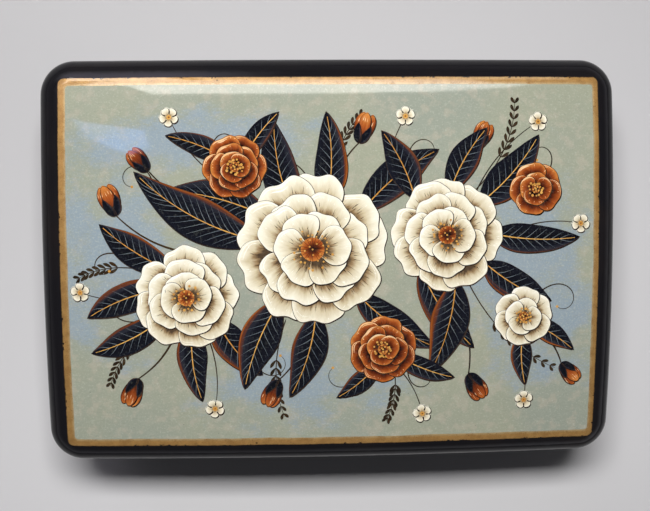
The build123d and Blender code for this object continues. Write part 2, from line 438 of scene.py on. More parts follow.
red = {
    "bright": paint(168, 44, 27),
    "deep": paint(136, 29, 19),
    "brightFade": (0.3, 0.7),
    "brushNoise": ((0.25, 1.6, 1.6), 4.0),
    "brushShare": 0.6,  # of the brush in the change of colour, and the rest is slow clouds
    "cloudNoise": (0.07, 2.0),
    "scuff": paint(196, 96, 74),
    "scuffNoise": ((0.5, 3.0, 0.5), 5.0),
    "scuffFade": (0.66, 0.74),
    "scuffShare": 0.35,
    "collarWear": 0.06,  # roughness that the collar gains
    "lidReach": 0.6,  # mm beyond the collar that the red goes under the lid's board
    "frameReach": 0.4,  # and on the lid's frame
    "baseDepth": 0.1,  # mm down the base, inside
    "lidDepth": (0.6, 0.7),  # fade, in shares of the board's thickness
}


def redColour(sheet):
    place = sheet.place()
    value = sheet.noise(place, *red["brushNoise"]) * red["brushShare"]
    value = value + sheet.noise(place, *red["cloudNoise"]) * (1 - red["brushShare"])
    colour = sheet.mix(sheet.fade(value, *red["brightFade"]), red["deep"], red["bright"])
    return sheet.laid(colour, red, "scuff", sheet.patches(red, "scuff"))


ground = {
    "sage": paint(154, 157, 138),
    "greySage": paint(147, 153, 140),
    "greyNoise": (0.045, 2.0),
    "greyFade": (0.35, 0.65),
    "rose": paint(176, 168, 152),
    "roseNoise": (0.5, 3.0),
    "roseFade": (0.48, 0.68),
    "roseShare": 0.5,
    "blue": paint(127, 145, 163),
    "paleBlue": paint(150, 163, 170),
    "blueShare": 0.85,
    # blue clouds, rubbed on with a dry brush: middle x and y, half length, half width
    "clouds": [
        (-37.0, 3.0, 14.0, 17.0), (-4.0, -20.0, 18.0, 8.0),
        (34.0, -3.0, 15.0, 18.0), (-24.0, 20.5, 20.0, 6.5),
    ],
    "cloudFade": (0.0, 1.5),  # in half lengths, from the middle out
    "rubReach": 2.6,  # how far the rubbing strays, in half lengths
    "rubNoise": ((0.13, 0.15, 1.0), 2.0, 0.55),
    "bristleReach": 1.1,
    "bristleNoise": ((1.3, 3.2, 1.0), 4.0, 0.75),
    "bristleFade": (0.12, 0.98),
    "shade": paint(128, 134, 122),  # where the bristles left little paint
    "shadeFade": (0.50, 0.30),
    "shadeShare": 0.30,
    "gritNoise": (3.2, 3.0, 0.7),
    "chalk": paint(194, 196, 182),
    "chalkFade": (0.50, 0.72),
    "chalkShare": 0.34,
    "fleck": paint(92, 98, 92),
    "fleckSpecks": (1.0, 0.05, 0.10),
    "fleckShare": 0.7,
}


def cloudDistance(sheet):
    # Distance from the middle of the nearest blue cloud, in its half lengths
    nearest = None
    for x, y, halfX, halfY in ground["clouds"]:
        inputs = {0: sheet.place(), 1: (1 / halfX, 1 / halfY, 0.0), 2: (-x / halfX, -y / halfY, 0.0)}
        fromMiddle = sheet.add("ShaderNodeVectorMath", {"operation": "MULTIPLY_ADD"}, inputs)
        away = sheet.add("ShaderNodeVectorMath", {"operation": "LENGTH"}, {0: fromMiddle}, "Value")
        nearest = sheet.math("MINIMUM", nearest, away) if nearest else away
    return nearest


def groundColour(sheet):
    place = sheet.place()
    grit = sheet.noise(place, *ground["gritNoise"])
    rubbed = sheet.noise(place, *ground["rubNoise"])
    bristles = sheet.noise(place, *ground["bristleNoise"])
    colour = sheet.mix(sheet.patches(ground, "grey"), ground["sage"], ground["greySage"])
    colour = sheet.laid(colour, ground, "rose", sheet.patches(ground, "rose"))
    density = 1 - sheet.fade(cloudDistance(sheet) + (rubbed - 0.5) * ground["rubReach"], *ground["cloudFade"])
    clouds = sheet.fade(density + (bristles - 0.5) * ground["bristleReach"], *ground["bristleFade"])
    blue = sheet.mix(grit, ground["blue"], ground["paleBlue"])
    colour = sheet.mix(clouds * ground["blueShare"], colour, blue)
    colour = sheet.laid(colour, ground, "shade", sheet.fade(bristles, *ground["shadeFade"]))
    colour = sheet.laid(colour, ground, "chalk", sheet.fade(grit, *ground["chalkFade"]))
    return sheet.laid(colour, ground, "fleck", sheet.specks(place, *ground["fleckSpecks"]))


goldLine = {
    "light": paint(188, 146, 86),
    "deep": paint(162, 122, 70),
    "bodyNoise": (0.7, 2.0),
    "powderNoise": (5.5, 3.0, 0.75),
    "powderShare": 0.55,
    "lightFade": (0.38, 0.62),
    "edge": paint(196, 172, 128),  # paler along its inner side
    "edgeFade": (-0.50, -0.06),  # mm inside the ground's outline
    "edgeBody": (0.36, 0.56),
    "edgeShare": 0.75,
    "speck": paint(84, 58, 32),
    "rimFade": (0.0, 0.20),  # mm, of the dark along its outer side
    "rimShare": 0.4,
    "specks": (2.4, 0.12, 0.26),
    "speckShare": 0.45,
    "flakes": 0.42,  # share of the powder that shines as metal
    "flakeRoughness": 0.42,
    "cornerRadius": 1.0,  # mm
    "innerCorner": 0.6,
    "outerFade": (-0.05, 0.07),
    "innerFade": (-0.06, 0.08),
    "waver": 0.14,  # mm, of the brush along both edges
    "waverNoise": (0.16, 1.0),
    "outerWaver": 0.6,  # share of it along the outer one
    "fray": 0.07,
    "frayNoise": (2.6, 3.0),
    "covered": 0.30,  # mm of its inner edge that the ground covers on the right
    "bite": 0.20,  # mm, of the black nicks in its outer edge
    "nickNoise": (1.5, 2.0, 0.6),
    "nickFade": (0.56, 0.66),
    "nickPlaceNoise": (0.09, 2.0),
    "nickPlaceFade": (0.46, 0.56),
    "chipNoise": (1.1, 4.0, 0.6),
    "chipFade": (0.70, 0.73),
    "chipShare": 0.8,
}


def fieldEdge(sheet, low, high, radius):
    # Distance inside the rounded outline of the picture field, in mm, less than 0 outside it
    x, y = sheet.axes()[:2]
    middle = (low + high) / 2
    overX = sheet.math("ABSOLUTE", x - middle.x) - ((high.x - low.x) / 2 - radius)
    overY = sheet.math("ABSOLUTE", y - middle.y) - ((high.y - low.y) / 2 - radius)
    corner = sheet.math("SQRT", sheet.math("MAXIMUM", overX, 0) ** 2 + sheet.math("MAXIMUM", overY, 0) ** 2)
    return radius - corner - sheet.math("MINIMUM", sheet.math("MAXIMUM", overX, overY), 0)


def lineEdges(sheet):
    # Distances inside the gold line's and the ground's outlines, as the brush has left them
    place = sheet.place()
    waver = (sheet.noise(place, *goldLine["waverNoise"]) - 0.5) * (2 * goldLine["waver"])
    fray = (sheet.noise(place, *goldLine["frayNoise"]) - 0.5) * (2 * goldLine["fray"])
    nicks = sheet.patches(goldLine, "nick") * sheet.patches(goldLine, "nickPlace")
    covered = Vector((goldLine["covered"], 0, 0))
    outside = fieldEdge(sheet, lineLow, lineHigh, goldLine["cornerRadius"])
    outside = outside + waver * goldLine["outerWaver"] + fray - nicks * goldLine["bite"]
    inside = fieldEdge(sheet, groundLow, groundHigh + covered, goldLine["innerCorner"]) + waver - fray
    return outside, inside


def goldColour(sheet, outside, inside):
    place = sheet.place()
    powder = sheet.noise(place, *goldLine["powderNoise"]) * goldLine["powderShare"]
    body = sheet.noise(place, *goldLine["bodyNoise"]) * (1 - goldLine["powderShare"]) + powder
    gold = sheet.mix(sheet.fade(body, *goldLine["lightFade"]), goldLine["deep"], goldLine["light"])
    paleEdge = sheet.fade(inside, *goldLine["edgeFade"]) * sheet.fade(body, *goldLine["edgeBody"])
    gold = sheet.laid(gold, goldLine, "edge", paleEdge)
    rim = 1 - sheet.fade(outside, *goldLine["rimFade"])
    gold = sheet.mix(rim * goldLine["rimShare"], gold, goldLine["speck"])
    return sheet.laid(gold, goldLine, "speck", sheet.specks(place, *goldLine["specks"]))


def fieldMask(sheet, halfX, halfY):
    # 1 inside a rectangle about the middle
    x, y = sheet.axes()[:2]
    inX = sheet.math("LESS_THAN", sheet.math("ABSOLUTE", x), halfX)
    return inX * sheet.math("LESS_THAN", sheet.math("ABSOLUTE", y), halfY)


def lidHollow(sheet):
    # 1 in the red hollow underneath, as far up as the underside of the board
    x, y, z = sheet.axes()
    crownFall = (x ** 2) * (0.5 / lid["radiusAlong"]) + (y ** 2) * (0.5 / lid["radiusAcross"])
    low, high = (share * lid["boardThickness"] for share in red["lidDepth"])
    underside = sheet.fade(lid["top"] - crownFall - z, low, high)
    return underside * fieldMask(sheet, collarHalfX + red["lidReach"], collarHalfY + red["lidReach"])


def paintedLid(name):
    # One paint job for the panel, the gold line and the ground, so the brush can stray over their joints
    sheet = newSheet(name)
    roughness, normal, grains = lacquerGloss(sheet)
    outside, inside = lineEdges(sheet)
    inGround = sheet.fade(inside, *goldLine["innerFade"])
    inGold = sheet.fade(outside, *goldLine["outerFade"])
    inGold = inGold * (1 - sheet.patches(goldLine, "chip") * goldLine["chipShare"])
    flakes = inGold * (1 - inGround)
    colour = sheet.mix(inGold, blackColour(sheet, grains), goldColour(sheet, outside, inside))
    colour = sheet.mix(inGround, colour, groundColour(sheet))
    colour = sheet.mix(lidHollow(sheet), colour, redColour(sheet))
    roughness = roughness + flakes * (goldLine["flakeRoughness"] - roughness)
    shine = lacquer["blackShine"] if name == "painted_lid_panel" else lacquer["shine"]
    return sheet.finish(
        Base_Color=colour, Roughness=roughness, Metallic=flakes * goldLine["flakes"], Normal=normal,
        Specular_IOR_Level=shine, Coat_Weight=flakes, Coat_Roughness=lacquer["roughness"],
        Coat_IOR=lacquer["coatIOR"],
    )


def lacquered(name, shine, redInside=None):
    # Black lacquer, red inside the given half length and half width above a level
    sheet = newSheet(name)
    roughness, normal, grains = lacquerGloss(sheet)
    colour = blackColour(sheet, grains)
    if redInside:
        halfX, halfY, level = redInside
        inner = fieldMask(sheet, halfX, halfY) * sheet.math("GREATER_THAN", sheet.axes()[2], level)
        colour = sheet.mix(inner, colour, redColour(sheet))
    return sheet.finish(Base_Color=colour, Roughness=roughness, Normal=normal, Specular_IOR_Level=shine)


def redLacquer(name):
    sheet = newSheet(name)
    roughness, normal = lacquerGloss(sheet)[:2]
    return sheet.finish(Base_Color=redColour(sheet), Roughness=roughness + red["collarWear"], Normal=normal)


brass = {"bright": (0.88, 0.65, 0.30, 1.0), "dull": (0.60, 0.41, 0.18, 1.0), "roughness": 0.30}
pinBrass = {"bright": (0.92, 0.76, 0.44, 1.0), "dull": (0.76, 0.58, 0.30, 1.0), "roughness": 0.24}
steel = {"bright": (0.62, 0.62, 0.63, 1.0), "dull": (0.30, 0.28, 0.27, 1.0), "roughness": 0.30}
hinge = {
    "knuckles": 5,
    "pins": 4,
    "grime": (0.07, 0.05, 0.035, 1.0),
    "grimeShare": 0.8,
    "grimeReach": 0.35,  # mm, from the knuckles' ends and from the pins
    "jointHalf": 0.08,  # mm, dark all through
    "metallic": 0.8,  # the rest is tarnish, which is matt
    "tarnishNoise": (0.35, 4.0),
    "tarnishFade": (0.45, 0.7),
    "tarnishShare": 0.8,
    "tarnishRoughness": 0.25,
    "rubNoise": ((0.6, 9.0, 9.0), 4.0),
    "rubRoughness": 0.2,
    "rubHeight": 0.004,  # mm
}


def hingeGrime(sheet):
    # Dark in the joints between the knuckles and round the pins
    x, y = sheet.axes()[:2]
    reach = hinge["grimeReach"]
    wireLow, wireHigh = (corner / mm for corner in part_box("hinge_wire"))
    pinsLow, pinsHigh = (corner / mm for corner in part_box("body_hinge_pins"))
    pinWidth = pinsHigh.y - pinsLow.y
    halfKnuckle = (wireHigh.x - wireLow.x) / hinge["knuckles"] / 2
    halfPitch = (pinsHigh.x - pinsLow.x - pinWidth) / (hinge["pins"] - 1) / 2
    fromJoint = sheet.math("ABSOLUTE", sheet.math("WRAP", x - halfKnuckle, halfKnuckle, -halfKnuckle))
    onWire = sheet.math("GREATER_THAN", y, wireLow.y - reach)
    joints = (1 - sheet.fade(fromJoint, hinge["jointHalf"], reach)) * onWire
    fromPinX = sheet.math("WRAP", x - halfPitch, halfPitch, -halfPitch)
    fromPin = sheet.math("SQRT", fromPinX ** 2 + (y - (pinsLow.y + pinsHigh.y) / 2) ** 2)
    rings = 1 - sheet.fade(fromPin, pinWidth / 2, pinWidth / 2 + reach)
    return sheet.math("MAXIMUM", joints, rings)


def metal(name, finish, grimy=False):
    # Drawn and rubbed along X, with dull patches where it has tarnished
    sheet = newSheet(name)
    rubbed = sheet.noise(sheet.place(), *hinge["rubNoise"])
    tarnish = sheet.patches(hinge, "tarnish")
    colour = sheet.mix(tarnish * hinge["tarnishShare"], finish["bright"], finish["dull"])
    if grimy:
        colour = sheet.mix(hingeGrime(sheet) * hinge["grimeShare"], colour, hinge["grime"])
    roughness = finish["roughness"] + tarnish * hinge["tarnishRoughness"]
    roughness = roughness + (rubbed - 0.5) * hinge["rubRoughness"]
    normal = sheet.bump(rubbed * hinge["rubHeight"])
    return sheet.finish(Base_Color=colour, Roughness=roughness, Metallic=hinge["metallic"], Normal=normal)


def dress(node, material):
    mesh = nodes[node].data
    mesh.materials.clear()
    mesh.materials.append(material)


redBase = (collarHalfX, collarHalfY, baseTop - red["baseDepth"])
redFrame = (collarHalfX + red["frameReach"], collarHalfY + red["frameReach"], 0.0)
for node in ("lid_panel", "gold_line", "painted_ground"):
    dress(node, paintedLid("painted_" + node))
dress("base_plate", lacquered("lacquerBase", lacquer["shine"], redBase))
dress("wall_frame", lacquered("lacquerWalls", lacquer["shine"]))
dress("lid_frame", lacquered("lacquerLidFrame", lacquer["blackShine"], redFrame))
for node in ("collar_front", "collar_back", "collar_left", "collar_right"):
    dress(node, redLacquer("red_" + node))
for node in ("body_hinge_leaf", "lid_hinge_leaf"):
    dress(node, metal("brass_" + node, brass, True))
for node in ("body_hinge_pins", "lid_hinge_pins"):
    dress(node, metal("brass_" + node, pinBrass))
dress("hinge_wire", metal("steelWire", steel))
print("lacquer, paint and metal on the frame's nodes")


# The flower spray: thin films of paint laid on the crown one over another, in mm on the picture field
class Film:
    # Patches and strokes of one paint that become one piece
    # Every point carries (across, along, tone) for the paint's shader
    def __init__(self):
        self.places = []
        self.normals = []
        self.marks = []
        self.faces = []
        self.count = 0

    def lay(self, grid, across, along, tone, lift):
        # grid runs from the root up, and from left to right across
        rows, columns = grid.shape[:2]
        points, normals = onCrown(grid)
        across, along, tone = np.broadcast_arrays(across[None, :], along[:, None], tone)
        index = self.count + np.arange(rows * columns).reshape(rows, columns)
        quads = np.stack([index[:-1, :-1], index[:-1, 1:], index[1:, 1:], index[1:, :-1]], -1)
        self.places.append((points + normals * lift).reshape(-1, 3))
        self.normals.append(normals.reshape(-1, 3))
        self.marks.append(np.stack([across, along, tone], -1).reshape(-1, 3))
        self.faces.append(quads.reshape(-1, 4))
        self.count += rows * columns

    def piece(self, name, material, slot):
        mesh = bpy.data.meshes.new(name)
        places = np.concatenate(self.places) * mm
        mesh.from_pydata(places.tolist(), [], np.concatenate(self.faces).tolist())
        marks = mesh.attributes.new("strokePlace", "FLOAT_VECTOR", "POINT")
        marks.data.foreach_set("vector", np.concatenate(self.marks).astype(np.float32).ravel())
        mesh.shade_smooth()
        mesh.normals_split_custom_set_from_vertices(np.concatenate(self.normals).tolist())
        mesh.materials.append(material)
        obj = bpy.data.objects.new(name, mesh)
        bpy.context.scene.collection.objects.link(obj)
        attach(obj, "lid")


def onCrown(grid):
    # Points of the crown above places in mm, and its normals there
    x, y = grid[..., 0], grid[..., 1]
    swing = lid["radiusAlong"] - lid["radiusAcross"]
    reach = swing + np.sqrt(lid["radiusAcross"] ** 2 - y**2)
    height = np.sqrt(reach**2 - x**2)
    floor = lid["top"] - lid["radiusAlong"]
    points = np.stack([x, y, floor + height], -1)
    normals = np.stack([x - swing * x / reach, y, height - swing * height / reach], -1) / lid["radiusAcross"]
    return points, normals


def aim(angle):
    # Unit vectors at angles
    return np.stack([np.cos(angle), np.sin(angle)], -1)


spray = {
    "lift": 0.009,  # of the first film over the ground, mm
    "film": 0.0020,  # each film over the last
    "line": 0.0009,  # a patch's own lines over it
    "leafFilm": 6,  # where the leaves and the blooms start, in films
    "leafFilms": 8,
    "bloomFilm": 14,
    "facet": 0.75,  # size of the patches' facets, mm
    "step": 0.34,  # and of the strokes'
    "tipHalf": 0.012,
    "liftPower": 0.8,  # how a line thins out as the brush is lifted off
    "turn": 2.39996,  # radians from one stamen to the next, as they grow
    "light": math.radians(120),  # where the light comes from in the picture
    # centre, size, petals in each ring from outside in, turn in degrees
    "blooms": {
        "russet": [
            ((8.5, -14.8), 5.8, (6, 5, 3), 20),
            ((-16.5, 16.6), 5.4, (6, 5, 3), 5),
            ((35.0, 12.5), 4.6, (5, 4), 40),
        ],
        "cream": [
            ((-25.0, -5.5), 8.8, (8, 6, 4), 12),
            ((19.5, 4.8), 9.6, (8, 7, 5), -8),
            ((-3.5, 2.6), 12.8, (9, 8, 6), 4),
            ((33.0, -9.5), 5.2, (6, 4), 25),
        ],
    },
    # root, heading in degrees, length, width, bend in degrees
    "leaves": [
        ((-6, 8), 118, 17, 6.4, -30), ((-1, 10), 78, 16, 5.6, 24), ((5, 9), 52, 17, 6.2, -28),
        ((-11, 8), 152, 18, 6.4, 26), ((-12, 4), 168, 25, 7.2, -34), ((-27, -1), 158, 15, 5.4, -22),
        ((-29, -4), 188, 14, 5.6, 26), ((-29, -9), 218, 14, 5.2, -24), ((-24, -10), 262, 14, 5.0, 28),
        ((-20, -9), 292, 13, 5.6, 32), ((-9, -6), 236, 17, 6.4, 24), ((-3, -8), 266, 16, 5.8, -26),
        ((4, -5), 312, 17, 5.6, 26), ((15, -1), 292, 17, 5.8, 24), ((21, -3), 268, 17, 6.4, -26),
        ((26, 0), 318, 14, 5.6, 24), ((27, 5), 347, 16, 5.2, 20), ((25, 10), 36, 16, 6.0, 24),
        ((20, 12), 72, 13, 5.0, -26), ((14, 11), 104, 13, 5.2, 24), ((33, -10), 338, 11, 3.8, -20),
        ((33, -12), 262, 10, 3.6, 24), ((8, -17), 232, 10, 3.6, -24), ((11, -16), 328, 11, 3.8, 20),
        ((-18, 18), 148, 11, 3.8, 22), ((-15, 18), 62, 10, 3.6, -20),
    ],
    # root, heading, length, width, the stem's start
    "buds": [
        ((-36.5, 8.5), 112, 5.6, 3.4, (-20, 2)), ((-33.5, -19.5), 246, 5.4, 3.2, (-26, -8)),
        ((-9.5, -20.0), 246, 5.2, 3.2, (-4, -8)), ((23.5, -19.5), 300, 5.4, 3.3, (19, -4)),
        ((40.0, -18.0), 312, 4.8, 3.0, (34, -11)), ((4.5, 20.5), 70, 5.4, 3.3, (0, 10)),
        ((24.5, 19.5), 62, 5.0, 3.1, (20, 12)), ((-31.0, 16.0), 132, 4.8, 3.0, (-14, 8)),
    ],
    # root, heading, length, how much they curl
    "tendrils": [
        ((-30, 12), 95, 12, 4.5), ((-31, -9), 196, 14, -4.2), ((-14, -14), 275, 12, 4.0),
        ((4, -15), 282, 13, -4.2), ((13, -17), 262, 10, 4.4), ((30, -12), 315, 12, 4.6),
        ((35, -6), 40, 13, -4.5), ((37, 15), 62, 9, 4.5), ((13, 16), 96, 11, -4.4),
        ((-3.5, 13), 112, 14, 4.4), ((-20, 18), 100, 9, -4.6), ((-36, 2), 170, 9, 4.2),
    ],
    # root, heading, length, curl
    "sprigs": [
        ((0, 13), 88, 14, -0.8), ((24, 12), 44, 18, 0.8), ((22.5, -2), 296, 24, 0.7),
        ((-8, -9), 250, 18, 0.7), ((-30, -10), 214, 14, 0.7), ((-31, -1), 165, 13, 0.8),
        ((10, -16), 284, 12, -0.7),
    ],
    # centre, the stem's start
    "florets": [
        ((-27.5, 25.0), (-18, 14)), ((12.5, 25.0), (9, 10)), ((35.5, 24.0), (24, 11)),
        ((-20.5, -25.0), (-22, -11)), ((15.5, -26.5), (10, -17)), ((43.0, 6.5), (30, 5)),
        ((-43.0, -4.5), (-30, -5)), ((33.5, -24.5), (31, -12)),
    ],
}

petals = {
    "fanShare": 1.85,  # turns a petal's width over its length into the half angle of its fan
    "rootShare": 0.03,  # of its length, where the paint starts
    "rows": (5, 16),  # fewest and most
    "columnsPerMm": 3.6,
    "columns": (15, 41),
    "roundness": (3.5, 0.6),  # powers of its round end
    "waves": (0.028, 0.02),  # of its edge, in shares of its length
    "waveCounts": (7, 13),
    "seedShare": 2.3,  # of the second wave
    "tone": (0.35, 0.25, 0.3),  # least, on the light's side, by chance
    "rootHairs": ((0.02, 0.30), (0.14, 0.40)),  # roots and reach, in shares of what shows
    "edgeHairs": ((0.60, 0.78), (0.10, 0.18)),
    "edgeShare": 0.7,  # of the hairs' number and spread, along the edge
    "lights": ((0.955, 0.36), (0.90, 0.20)),  # where along, and half span
    "lightWidth": (0.132, 0.088),  # mm, and what the light's side adds
    "lightSwing": 0.45,
    "edgePoints": 90,
    "outlineTrim": 0.30,  # radians of the edge at the root that stay bare
}

leaves = {
    "fullest": 0.42,  # where along it is widest
    "roundness": 0.85,
    "rowsPerFacet": 1.8,
    "rows": (12, 48),
    "columns": 9,
    "wave": 0.05,
    "waveCount": 9,
    "rib": (0.05, 0.94),  # from and to, along
    "ribWidths": (0.19, 0.1, 0.4),  # widest in mm, where that is, share left at the end
    "veinsPerMm": 0.55,
    "veins": (0.10, 0.76),  # along, of the first one, and from it to the last
    "veinReach": (0.15, 0.84),  # along and across
    "veinPower": 1.2,
    "veinWidths": (0.09, 0.15),
    "edgePoints": 60,  # along each side
    "outlineTrim": 0.02,
}


class Petal:
    # A fan from its root to a round, wavy edge
    # along runs 0 to 1 from the root to the edge, across -1 to 1 from left to right
    def __init__(self, root, heading, length, width, bend, seed):
        self.root, self.heading, self.length = np.array(root), heading, length
        self.bend, self.seed = bend, seed
        self.halfAngle = petals["fanShare"] * width / (2 * length)
        rows = int(np.clip(length / spray["facet"], *petals["rows"]))
        columns = int(np.clip(length * petals["columnsPerMm"], *petals["columns"]))
        self.rows = np.linspace(petals["rootShare"], 1, rows)
        self.columns = -np.cos(np.linspace(0, math.pi, columns))

    def at(self, along, across):
        along, across = np.broadcast_arrays(along, across)
        side, end = petals["roundness"]
        edge = np.maximum(1 - np.abs(across) ** side, 0) ** end
        wave = 1
        for depth, count, share in zip(petals["waves"], petals["waveCounts"], (1, petals["seedShare"])):
            wave = wave + depth * np.sin(count * across + share * self.seed)
        reach = self.length * along * edge * wave
        return self.root + reach[..., None] * aim(self.heading - self.halfAngle * across + self.bend * along)

    def edge(self, trim):
        return self.at(1.0, -np.cos(np.linspace(trim, math.pi - trim, petals["edgePoints"])))


class Leaf:
    # A blade on a bent rib, closed at its tip, with the same along and across
    def __init__(self, root, heading, length, width, bend, seed, fullest=None, roundness=None):
        self.root, self.heading, self.length = np.array(root), heading, length
        self.width, self.bend, self.seed = width, bend, seed
        self.roundness = roundness or leaves["roundness"]
        self.power = math.log(0.5) / math.log(fullest or leaves["fullest"])
        rows = int(np.clip(length * leaves["rowsPerFacet"] / spray["facet"], *leaves["rows"]))
        self.rows = (1 - np.cos(np.linspace(0, math.pi, rows))) / 2
        self.columns = np.linspace(-1, 1, leaves["columns"])

    def at(self, along, across):
        along, across = np.broadcast_arrays(along, across)
        turn = self.heading + self.bend * along
        start = self.heading
        rib = np.stack([np.sin(turn) - math.sin(start), math.cos(start) - np.cos(turn)], -1) / self.bend
        swell = np.maximum(np.sin(math.pi * along**self.power), 0) ** self.roundness
        wave = 1 + leaves["wave"] * np.sin(leaves["waveCount"] * along + self.seed)
        half = self.width / 2 * swell * wave + spray["tipHalf"]
        return self.root + rib * self.length + (across * half)[..., None] * aim(turn - math.pi / 2)

    def edge(self, trim):
        rows = np.linspace(trim, 1, leaves["edgePoints"])
        return np.concatenate([self.at(rows, -1.0), self.at(rows[::-1], 1.0)])


def evenPath(path, step):
    # The same line through points at even distances, with its kinks rubbed out
    lengths = np.concatenate([[0], np.cumsum(np.linalg.norm(np.diff(path, axis=0), axis=1))])
    even = np.linspace(0, lengths[-1], max(int(lengths[-1] / step), 3) + 1)
    path = np.stack([np.interp(even, lengths, path[:, 0]), np.interp(even, lengths, path[:, 1])], -1)
    for _ in range(2):
        path[1:-1] = (path[:-2] + 2 * path[1:-1] + path[2:]) / 4
    return path


def curledPath(root, heading, length, curl, power):
    count = max(int(length / spray["step"]), 12)
    turn = math.radians(heading) + curl * np.linspace(0, 1, count) ** power
    return np.array(root) + np.cumsum(aim(turn) * length / count, 0)


def tapered(count, widest, start=0.25, end=0.0):
    # Widths of a line that is pressed in and lifted off
    t = np.linspace(0, 1, count)
    press = np.where(t < start, np.sqrt(t / start), ((1 - t) / (1 - start)) ** spray["liftPower"])
    return widest * (end + (1 - end) * press) + spray["tipHalf"]


# How the brush works, in mm and in shares of each motif's own size
brush = {
    "outline": (0.06, 0.25),  # width of an outline on its light and its dark side
    "outlinePower": 1.5,
    "knots": 7,  # changes of the hand's pressure along an outline
    "knotPress": (0.65, 1.15),
    "hair": 0.10,
    "hairPress": (0.55, 1.1),
    "hairLean": (-0.1, 0.14),
    "hairSpread": 0.8,
    "hairPoints": 8,
}
bloomForm = {
    "heart": 0.22,
    "ringStep": 0.74,
    "turnChance": 0.10,  # radians
    "lengths": (0.82, 0.92),
    "widths": (0.98, 1.16),
    "covered": 0.92,  # share of the next ring that hides a petal's root
    "bend": 0.2,
    "hairs": (4, 0.8),  # fewest, and more for each mm
}
heartForm = {
    "middle": 0.72,
    "stamens": (11, 4),  # fewest, and more for each mm
    "reach": (0.8, 1.3),
    "sway": 0.1,  # radians
    "thread": 0.06,
    "dots": (0.15, 0.25),
    "innerDots": (6, 3),
    "innerStep": 0.24,
    "innerDot": 0.16,
}
stems = {
    "width": 0.46,
    "endShare": 0.5,
    "tendrilPower": 1.8,
    "tendril": (0.24, 0.05, 0.25),  # widest, where that is, share left at the end
    "tendrilDot": 0.24,
    "sprigPower": 1.2,
    "sprig": (0.22, 0.05, 0.3),
    "drops": (0.42, 0.97, 8),  # along from, to, and how many pairs
    "dropLean": 0.75,
    "dropLength": (2.3, 1.1),  # and what it loses towards the tip
    "dropWidth": 0.55,
    "dropBend": 0.6,
    "dropForm": (0.6, 0.8),  # where along it is widest, and its roundness
}
florets = {
    "sway": 0.16,
    "stem": 0.26,
    "petals": 5,
    "out": 0.2,  # of a petal's root, from the middle
    "length": 1.5,
    "width": 1.7,
    "tone": 0.55,
    "middle": 0.42,
    "dot": 0.16,
}
buds = {
    "sway": 0.22,
    "leans": (-0.36, 0.36, 0.0),
    "petal": (1.0, 0.66, 1.2),  # length, width, bend
    "leastBend": 0.1,  # a rib is never quite straight
    "petalForm": (0.55, 0.6),
    "rootHairs": (5, (0.04, 0.20), (0.2, 0.4)),
    "tipHairs": (4, (0.55, 0.75), (0.12, 0.18)),
    "petalTrim": 0.1,
    "sepalLeans": (-0.62, 0.62),
    "sepal": (0.66, 0.42, 1.0),
    "sepalForm": (0.4, 0.8),
    "sepalTrim": 0.02,
}


